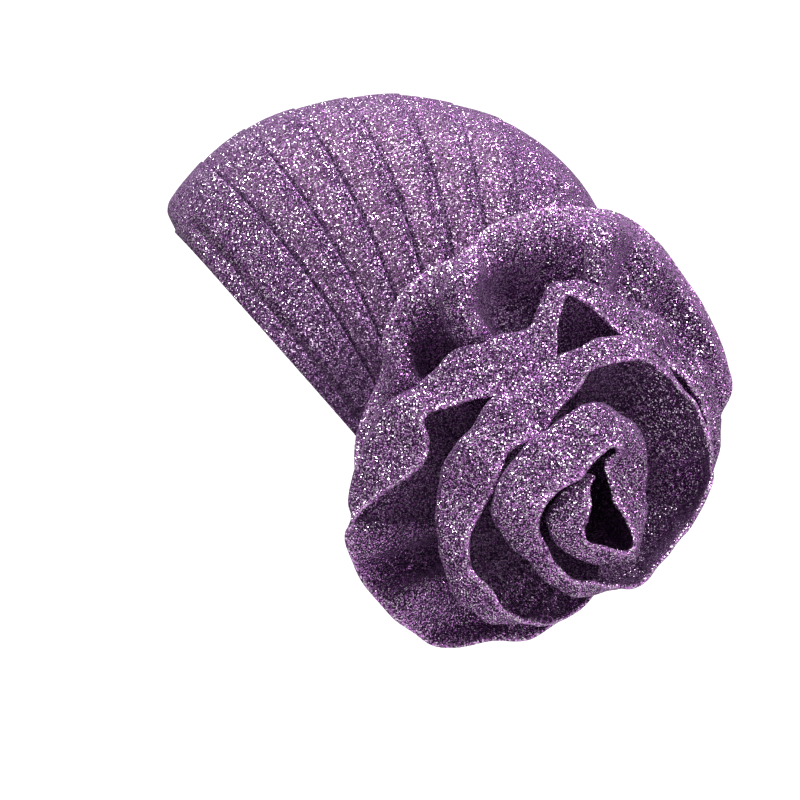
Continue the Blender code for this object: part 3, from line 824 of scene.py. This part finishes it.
def cloth_material(name, knit, share, yarn, thread, pleated=False, rims_lit_hollows_shaded=False):
    """The glitter knit in one piece's own colours, thinner and greyer where it is stretched."""
    material = bpy.data.materials.new(name)
    material.use_nodes = True
    tree = material.node_tree
    shader = tree.nodes["Principled BSDF"]
    cloth = tree.nodes.new("ShaderNodeGroup")
    cloth.node_tree = knit
    cloth.inputs["Thread Share"].default_value = share
    cloth.inputs["Yarn"].default_value = (*yarn, 1)
    cloth.inputs["Thread"].default_value = (*thread, 1)
    bump = tree.nodes.new("ShaderNodeBump")
    bump.inputs["Strength"].default_value = 1.0
    bump.inputs["Distance"].default_value = STITCH_RELIEF
    tree.links.new(cloth.outputs["Color"], shader.inputs["Base Color"])
    tree.links.new(cloth.outputs["Metallic"], shader.inputs["Metallic"])
    tree.links.new(cloth.outputs["Roughness"], shader.inputs["Roughness"])
    tree.links.new(cloth.outputs["Height"], bump.inputs["Height"])
    tree.links.new(cloth.outputs["Normal"], bump.inputs["Normal"])
    tree.links.new(bump.outputs["Normal"], shader.inputs["Normal"])
    shader.inputs["Specular IOR Level"].default_value = CLOTH_SPECULAR
    shader.inputs["Sheen Weight"].default_value = SHEEN_WEIGHT
    shader.inputs["Sheen Roughness"].default_value = SHEEN_ROUGHNESS
    shader.inputs["Sheen Tint"].default_value = (*SHEEN_TINT, 1)
    # Painted shade in the pleats' grooves and towards the crown's side edges, and thinner, greyer
    # knit where it is stretched
    if pleated:
        shade = painted(tree, "painted_crown_shade")
        single = painted(tree, "single_layer")
        thinner = knit_step(tree, "MULTIPLY_ADD", single, STRETCHED_THREAD_ADDS, share)
        greyer = blend_colours(tree, single, (*yarn, 1), (*STRETCHED_YARN, 1))
        tree.links.new(shade, cloth.inputs["Painted Shade"])
        tree.links.new(thinner, cloth.inputs["Thread Share"])
        tree.links.new(greyer, cloth.inputs["Yarn"])
    # Painted shade over the strips' roots and hollows, and a painted highlight along their folded
    # rims
    if rims_lit_hollows_shaded:
        root = painted(tree, "painted_hollow_shade")
        rim = painted(tree, "painted_rim_highlight")
        rim_lit_share = knit_step(tree, "MULTIPLY_ADD", rim, RIM_HIGHLIGHT_ADDS, share)
        tree.links.new(root, cloth.inputs["Painted Shade"])
        tree.links.new(rim_lit_share, cloth.inputs["Thread Share"])
    tree.nodes.active = shader
    return material


def crown_lines():
    """The crown's lines from nape to brow.

    Each has the angle of its pleat's edge, degrees from it, height, painted shade and stretch.
    """
    last_edge = FIRST_PLEAT - PLEAT_PITCH * (PLEAT_COUNT - 1)
    start = last_edge + PLEAT_FOLD[0][0]
    lines = []
    for step in range(BACK_COLUMNS):
        lines.append((NAPE_ANGLE + (start - NAPE_ANGLE) * step / BACK_COLUMNS, 0.0, 0.0, 0.0, 0.0))
    for pleat in reversed(range(PLEAT_COUNT)):
        edge = FIRST_PLEAT - PLEAT_PITCH * pleat
        folds = PLEAT_FOLD if pleat else PLEAT_FOLD[:FRONT_PLEAT_KEEPS] + FRONT_FOLDS
        for offset, height, shade, stretch in folds:
            panel = pleat + 1 if offset < 0 else pleat
            stretch *= STRETCH_BY_PANEL[panel] if panel < PLEAT_COUNT else 0.0
            lines.append((edge, offset, height, shade, stretch))
    start = lines[-1][0] + lines[-1][1]
    for step in range(1, BROW_COLUMNS + 1):
        lines.append((start + (BROW_ANGLE - start) * step / BROW_COLUMNS, 0.0, 0.0, 0.0, 0.0))
    return np.array(lines)


def make_crown():
    edges, offsets, heights, shades, stretches = crown_lines().T
    shares = np.linspace(-1, 1, 2 * CROWN_ROWS + 1)
    side = np.abs(shares)
    widen = FOLD_WIDENS_BY * smooth_step(*FOLD_WIDENS_OVER, side)
    folds = np.clip(offsets, *FOLD_REACH)
    angles = (edges + offsets)[:, None] + folds[:, None] * widen[None, :]
    deepen = PLEAT_TOP_SHARE + (1 - PLEAT_TOP_SHARE) * smooth_step(0, PLEAT_DEEPENS_BY, side)
    fade = 1 - smooth_step(PLEAT_FADES_FROM, 1, side)
    lifts = PLEAT_HEIGHT * heights[:, None] * (deepen * fade)[None, :]
    hem = np.clip((angles - BROW_ANGLE + HEM_ANGLE) / HEM_ANGLE, 0, 1)
    lifts = lifts + HEM_ROLL * np.sin(hem * math.pi / 2)
    outer = crown_grid(angles, lifts, shares)
    inner = crown_grid(angles, np.full_like(lifts, -CROWN_WALL) + np.minimum(lifts, 0), shares)
    front = np.swapaxes(outer, 0, 1)
    back = np.swapaxes(inner, 0, 1)
    crown = folded_sheet("crown_cloth", front, back, (CROWN_WALL + HEM_ROLL) / 2)
    # Painted shade in each pleat's groove
    shade = (shades[:, None] * smooth_step(*FOLD_SHADE_OVER, side)[None, :]).T
    # Painted shade on the crown's lower side, by the ear and the rosette
    side_edge_shade = SIDE_EDGE_SHADE * smooth_step(SIDE_EDGE_SHADE_FROM, SIDE_EDGE_SHADE_TO, side)
    shade = np.maximum(shade, side_edge_shade[:, None])
    stretch = (stretches[:, None] * smooth_step(*STRETCH_OVER, side)[None, :]).T
    paint(crown, "painted_crown_shade", shade)
    paint(crown, "single_layer", stretch)
    return crown


def paint(piece, name, values, on_fold=0.0):
    """Stores a value at each point of a folded sheet, the same on both of its faces."""
    fold = np.full((values.shape[0], FOLD_STEPS + 1), on_fold)
    around = np.concatenate([values, fold, values[:, ::-1]], axis=1)
    attribute = piece.data.attributes.new(name, "FLOAT", "POINT")
    attribute.data.foreach_set("value", around.ravel())


def rolled_lip(turns, across):
    """The outermost stretch swells before its rim and rolls back at it."""
    outermost = 1 - smooth_step(LIP_FADES_FROM, LIP_FADES_TO, turns)
    swell = LIP_SWELL * np.exp(-(((across - LIP_PLACE) / LIP_WIDTH) ** 2))
    return outermost[:, None] * (swell - LIP_ROLL * smooth_step(LIP_PLACE, 1.0, across))[None, :]


def strip_detail(grid, turns, across):
    """How far the cloth stands off its plain form: ripples, gathers and pressed folds."""
    length = arc_lengths(grid, int(len(across) * RIPPLES_MEASURED_AT))[:, None]
    share = across[None, :]
    lift = np.zeros(grid.shape[:2])
    for number, (wave, height, slant) in enumerate(RIPPLES):
        phase = 2 * math.pi * (length / wave + slant * share + RIPPLE_OFFSET * number)
        lift += height * np.sin(phase) * smooth_step(*RIPPLES_GROW_OVER, share)
    root = arc_lengths(grid, GATHERS_MEASURED_AT)[:, None]
    gathers = GATHER_HEIGHT * np.sin(2 * math.pi * root / GATHER_LENGTH)
    lift += gathers * (1 - smooth_step(*GATHERS_FADE_OVER, share))
    lift += rolled_lip(turns, across)
    for turn, half_width, low, high, height in CREASES:
        beside = np.exp(-(((turns[:, None] - turn) / half_width) ** 2))
        begun = smooth_step(low - CREASE_BEGINS[0], low + CREASE_BEGINS[1], share)
        ended = smooth_step(high - CREASE_ENDS[0], high + CREASE_ENDS[1], share)
        lift += height * beside * begun * (1 - CREASE_FADES_BY * ended)
    return lift


def root_shade(turns, across):
    """Painted shade over the strip's root, further out in a hollow."""
    marks, starts, ends = np.array(ROOT_SHADE_ENDS).T
    start = np.interp(turns, marks, starts)[:, None]
    end = np.interp(turns, marks, ends)[:, None]
    return ROOT_SHADE * (1 - smooth_step(start, end, across[None, :]))


def flat_strip(grid):
    """Length, width and area of the curved strip that a stretch is made of, laid flat."""
    lengths = np.linalg.norm(np.diff(grid, axis=0), axis=-1).sum(axis=0)
    width = float(np.linalg.norm(np.diff(grid, axis=1), axis=-1).sum(axis=1).mean())
    return float(lengths.max()), width, float(lengths.mean()) * width


def make_ruffles():
    """Five stretches of one wound strip, cut where the solids are."""
    across = np.linspace(0, 1, STRIP_ROWS + 1)
    last_row = len(WOUND_STRIP) - 1
    places = np.linspace(0, last_row, last_row * COLUMNS_PER_ROW + 1)
    grid = strip_grid(places, across)
    turns = read_rows(WOUND_STRIP, places)[:, 0]
    grid = grid + grid_normals(grid) * strip_detail(grid, turns, across)[..., None]
    crown_top = crown_side(grid[..., 1], grid[..., 2]) + PLEAT_HEIGHT + SEAT_CLEARANCE
    grid[..., 0] = np.maximum(grid[..., 0], crown_top + CLOTH_THICKNESS / 2)
    normals = grid_normals(grid)
    front = grid + normals * CLOTH_THICKNESS / 2
    back = grid - normals * CLOTH_THICKNESS / 2
    pieces = []
    first = 0
    for name, rows in STRIP_TABLES:
        last = min(first + len(rows), last_row)
        stretch = slice(first * COLUMNS_PER_ROW, last * COLUMNS_PER_ROW + 1)
        piece = folded_sheet(name + "_cloth", front[stretch], back[stretch], CLOTH_THICKNESS / 2)
        columns = stretch.stop - stretch.start
        # Painted highlight along each folded rim
        paint(piece, "painted_rim_highlight", np.tile(smooth_step(*RIM_HIGHLIGHT_SHARES, across), (columns, 1)), 1.0)
        # Painted shade over the root and, further out, in the hollows
        paint(piece, "painted_hollow_shade", root_shade(turns[stretch], across))
        pieces.append((piece, name, *flat_strip(grid[stretch])))
        first = last
    return pieces


def make_seat():
    """The gathered cloth seat under the rosette."""
    radius = PAD_RADIUS_SHARE * FLOWER_RADIUS
    turns = np.arange(SEAT_SECTORS) * 360 / SEAT_SECTORS
    reach = radius * np.linspace(SEAT_FIRST_RING, 1, SEAT_RINGS)
    turn, out = np.meshgrid(turns, reach, indexing="ij")
    pucker = PUCKER_HEIGHT * np.sin(np.radians(turn) * PUCKER_COUNT)
    pucker = pucker * smooth_step(*PUCKERS_GROW_OVER, out / radius)
    top = flower_points(turn, out, pad_height(out) + pucker * TOP_PUCKER_SHARE)
    floor = flower_points(turn, out, -PAD_DEPTH + pucker)
    crown_top = crown_side(floor[..., 1], floor[..., 2]) + SEAT_CLEARANCE
    floor[..., 0] = np.maximum(floor[..., 0], crown_top)
    points = []
    faces = []
    around = 2 * SEAT_RINGS
    for sector in range(SEAT_SECTORS):
        points += [tuple(p) for p in top[sector]] + [tuple(p) for p in floor[sector][::-1]]
    for sector in range(SEAT_SECTORS):
        here = sector * around
        there = (sector + 1) % SEAT_SECTORS * around
        for step in range(around - 1):
            faces.append((here + step, there + step, there + step + 1, here + step + 1))
    faces.append([sector * around for sector in range(SEAT_SECTORS)])
    faces.append([sector * around + around - 1 for sector in reversed(range(SEAT_SECTORS))])
    return solid_mesh("flower_seat_cloth", points, faces)


def stitch_tree(material):
    """Geometry nodes that lay short stitches across a path, at an even spacing."""
    tree = bpy.data.node_groups.new("tacking_stitches", "GeometryNodeTree")
    face = tree.interface
    face.new_socket("Path", in_out="INPUT", socket_type="NodeSocketGeometry")
    for name in ("Spacing", "Length", "Thread Radius"):
        socket = face.new_socket(name, in_out="INPUT", socket_type="NodeSocketFloat")
        socket.default_value = MM
    face.new_socket("Stitches", in_out="OUTPUT", socket_type="NodeSocketGeometry")
    source = tree.nodes.new("NodeGroupInput").outputs
    target = tree.nodes.new("NodeGroupOutput")
    spread = tree.nodes.new("GeometryNodeResampleCurve")
    spread.mode = "LENGTH"
    tree.links.new(source["Path"], spread.inputs["Curve"])
    tree.links.new(source["Spacing"], spread.inputs["Length"])
    tangent = tree.nodes.new("GeometryNodeInputTangent")
    normal = tree.nodes.new("GeometryNodeInputNormal")
    along = tree.nodes.new("FunctionNodeAlignRotationToVector")
    along.axis = "Y"
    across = tree.nodes.new("FunctionNodeAlignRotationToVector")
    across.axis = "Z"
    across.pivot_axis = "Y"
    tree.links.new(tangent.outputs[0], along.inputs["Vector"])
    tree.links.new(along.outputs[0], across.inputs["Rotation"])
    tree.links.new(normal.outputs[0], across.inputs["Vector"])
    thread = tree.nodes.new("GeometryNodeMeshUVSphere")
    thread.inputs["Segments"].default_value = STITCH_SEGMENTS
    thread.inputs["Rings"].default_value = STITCH_RINGS
    thread.inputs["Radius"].default_value = 1.0
    slim = tree.nodes.new("ShaderNodeCombineXYZ")
    half = tree.nodes.new("ShaderNodeMath")
    half.operation = "MULTIPLY"
    half.inputs[1].default_value = 0.5
    tree.links.new(source["Length"], half.inputs[0])
    tree.links.new(half.outputs[0], slim.inputs["Z"])
    tree.links.new(source["Thread Radius"], slim.inputs["X"])
    tree.links.new(source["Thread Radius"], slim.inputs["Y"])
    place = tree.nodes.new("GeometryNodeInstanceOnPoints")
    tree.links.new(spread.outputs["Curve"], place.inputs["Points"])
    tree.links.new(thread.outputs["Mesh"], place.inputs["Instance"])
    tree.links.new(across.outputs[0], place.inputs["Rotation"])
    tree.links.new(slim.outputs[0], place.inputs["Scale"])
    real = tree.nodes.new("GeometryNodeRealizeInstances")
    finish = tree.nodes.new("GeometryNodeSetMaterial")
    finish.inputs["Material"].default_value = material
    tree.links.new(place.outputs[0], real.inputs[0])
    tree.links.new(real.outputs[0], finish.inputs["Geometry"])
    tree.links.new(finish.outputs[0], target.inputs["Stitches"])
    return tree


def make_tacking_stitches(material):
    """Stitches that hold the rosette's seat to the crown, round the edge that they share."""
    radius = PAD_RADIUS_SHARE * FLOWER_RADIUS
    curve = bpy.data.curves.new("seat_edge", "CURVE")
    curve.dimensions = "3D"
    line = curve.splines.new("POLY")
    turns = np.linspace(*TACKED_TURNS, TACKING_STEPS)
    points = flower_points(turns, np.full_like(turns, radius), np.zeros_like(turns))
    side = crown_side(points[:, 1], points[:, 2])
    gap = points[:, 0] - PAD_DEPTH - side
    reached = gap < STITCH_LENGTH
    points = points[reached]
    points[:, 0] = side[reached] + np.maximum(gap[reached], SEAT_CLEARANCE) / 2 + STITCH_RADIUS
    line.points.add(len(points) - 1)
    for spot, point in zip(line.points, points):
        spot.co = (*point, 1)
    path = bpy.data.objects.new("seat_edge", curve)
    bpy.context.scene.collection.objects.link(path)
    modifier = path.modifiers.new("stitches", "NODES")
    modifier.node_group = stitch_tree(material)
    sizes = {"Spacing": STITCH_SPACING, "Length": STITCH_LENGTH, "Thread Radius": STITCH_RADIUS}
    for item in modifier.node_group.interface.items_tree:
        if item.in_out == "INPUT" and item.name in sizes:
            modifier[item.identifier] = sizes[item.name]
    ready = path.evaluated_get(bpy.context.evaluated_depsgraph_get())
    mesh = bpy.data.meshes.new_from_object(ready)
    mesh.name = "tacking_stitches"
    stitches = bpy.data.objects.new("tacking_stitches", mesh)
    bpy.context.scene.collection.objects.link(stitches)
    bpy.data.objects.remove(path, do_unlink=True)
    return stitches


def make_stage():
    """A plain pale floor that rises in a wide curve, so that no horizon shows."""
    points = [(0, 0, -FLOOR_DROP)]
    for radius, height in FLOOR_RINGS:
        for sector in range(FLOOR_SECTORS):
            bearing = 2 * math.pi * sector / FLOOR_SECTORS
            x = radius * math.cos(bearing)
            y = radius * math.sin(bearing)
            points.append((x, y, height - FLOOR_DROP))
    faces = [(0, 1 + sector, 1 + (sector + 1) % FLOOR_SECTORS) for sector in range(FLOOR_SECTORS)]
    for ring in range(len(FLOOR_RINGS) - 1):
        for sector in range(FLOOR_SECTORS):
            turned = (sector + 1) % FLOOR_SECTORS
            here = 1 + ring * FLOOR_SECTORS
            there = here + FLOOR_SECTORS
            faces.append((here + sector, there + sector, there + turned, here + turned))
    mesh = bpy.data.meshes.new("pale_floor")
    mesh.from_pydata(points, [], faces)
    mesh.polygons.foreach_set("use_smooth", [True] * len(mesh.polygons))
    floor = bpy.data.objects.new("pale_floor", mesh)
    bpy.context.scene.collection.objects.link(floor)
    material = bpy.data.materials.new("pale_paper")
    material.use_nodes = True
    shader = material.node_tree.nodes["Principled BSDF"]
    shader.inputs["Base Color"].default_value = (FLOOR_GREY, FLOOR_GREY, FLOOR_GREY, 1)
    shader.inputs["Roughness"].default_value = FLOOR_ROUGHNESS
    # The floor glows for the camera alone, so it shows white and lights nothing
    shader.inputs["Emission Color"].default_value = (1, 1, 1, 1)
    seen = material.node_tree.nodes.new("ShaderNodeLightPath")
    material.node_tree.links.new(seen.outputs["Is Camera Ray"], shader.inputs["Emission Strength"])
    mesh.materials.append(material)
    floor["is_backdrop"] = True


def aim(thing, target):
    """Turns a light towards a point."""
    direction = np.array(target, float) - np.array(thing.location)
    flat = math.hypot(direction[0], direction[1])
    thing.rotation_euler = (
        math.atan2(flat, -direction[2]),
        0,
        math.atan2(direction[1], direction[0]) - math.pi / 2,
    )


def add_light(name, location, size, power):
    light = bpy.data.lights.new(name, "AREA")
    light.shape = "DISK"
    light.size = size
    light.energy = power
    lamp = bpy.data.objects.new(name, light)
    lamp.location = location
    aim(lamp, LIT_SPOT)
    bpy.context.scene.collection.objects.link(lamp)


def make_camera_and_light():
    camera = bpy.data.objects.new("camera", bpy.data.cameras.new("camera"))
    camera.data.sensor_width = SENSOR_WIDTH
    camera.data.lens = SENSOR_WIDTH * CAMERA_DISTANCE / VIEW_WIDTH
    camera.location = (CAMERA_DISTANCE, CAMERA_BACK, -CAMERA_DROP)
    camera.rotation_euler = (math.pi / 2, 0, math.pi / 2)
    bpy.context.scene.collection.objects.link(camera)
    bpy.context.scene.camera = camera
    for light in LIGHTS:
        add_light(*light)
    world = bpy.data.worlds.new("studio")
    world.use_nodes = True
    background = world.node_tree.nodes["Background"]
    background.inputs["Color"].default_value = (1, 1, 1, 1)
    background.inputs["Strength"].default_value = WORLD_STRENGTH
    bpy.context.scene.world = world
    bpy.context.scene.view_settings.view_transform = "Standard"


def dress(piece, node, material):
    piece.data.materials.append(material)
    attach(piece, "root")
    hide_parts(node)


make_camera_and_light()
make_stage()
knit = glitter_knit_group()
crown_cloth = cloth_material(
    "crown_glitter_knit", knit, CROWN_THREAD_SHARE, CROWN_YARN, CROWN_THREAD, pleated=True
)
flower_cloth = cloth_material(
    "rosette_glitter_knit", knit, ROSETTE_THREAD_SHARE, ROSETTE_YARN, ROSETTE_THREAD, rims_lit_hollows_shaded=True
)
seat_cloth = cloth_material("seat_glitter_knit", knit, SEAT_THREAD_SHARE, SEAT_YARN, SEAT_THREAD)

crown = make_crown()
dress(crown, "crown", crown_cloth)
seat = make_seat()
dress(seat, "flower_base", seat_cloth)
for piece, node, length, width, area in make_ruffles():
    dress(piece, node, flower_cloth)

stitches = make_tacking_stitches(seat_cloth)
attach(stitches, "root")

boxes = {"cad_box": cad_box, "visual_box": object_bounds()}
for name, corners in boxes.items():
    boxes[name] = [[float(number) for number in corner] for corner in corners]
